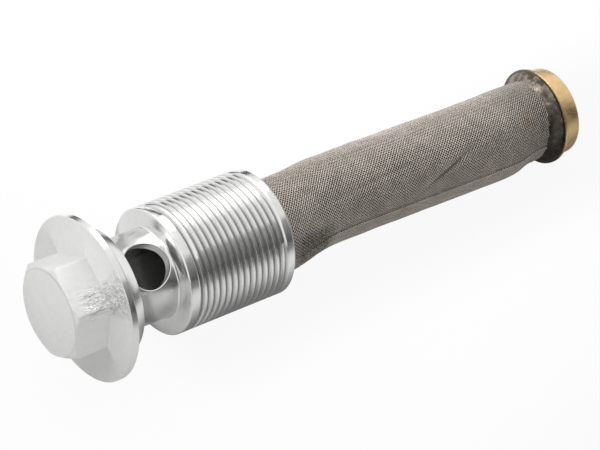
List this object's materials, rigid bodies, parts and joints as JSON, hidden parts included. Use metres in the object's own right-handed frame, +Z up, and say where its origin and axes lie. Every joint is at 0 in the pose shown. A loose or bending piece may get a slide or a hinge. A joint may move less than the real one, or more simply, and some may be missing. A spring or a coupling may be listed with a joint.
{
  "type": "oil tank filter",
  "caption": "Hollow hex-head bolt with flange, cross-drilled neck and threaded end, carrying a long rolled wire-gauze strainer tube closed by a brass cap.",
  "frame": {"origin": "on the floor under the middle of the part's bounding box, with the part lying at rest on its flange rim and its cap lip", "axes": "+X runs from the hex head to the cap, level; +Z is up. The bolt's own axis slopes down towards the cap by 4.1 degrees, because the flange is wider than the cap"},
  "size_m": [0.132, 0.035, 0.035],
  "materials": {
    "bolt": "zinc plated, pale grey, lightly scratched",
    "gauze_tube": "dull grey-brown woven wire gauze, tinned",
    "cap": "dull turned brass, tinned grey in front of the lip",
    "cap_solder": "dull grey-brown soft solder",
    "socket_solder": "dull grey soft solder"
  },
  "bodies": {
    "root": {"bolt": "bolt", "gauze_tube": "gauze_tube", "cap": "cap", "cap_solder": "cap_solder", "socket_solder": "socket_solder"}
  },
  "joints": []
}
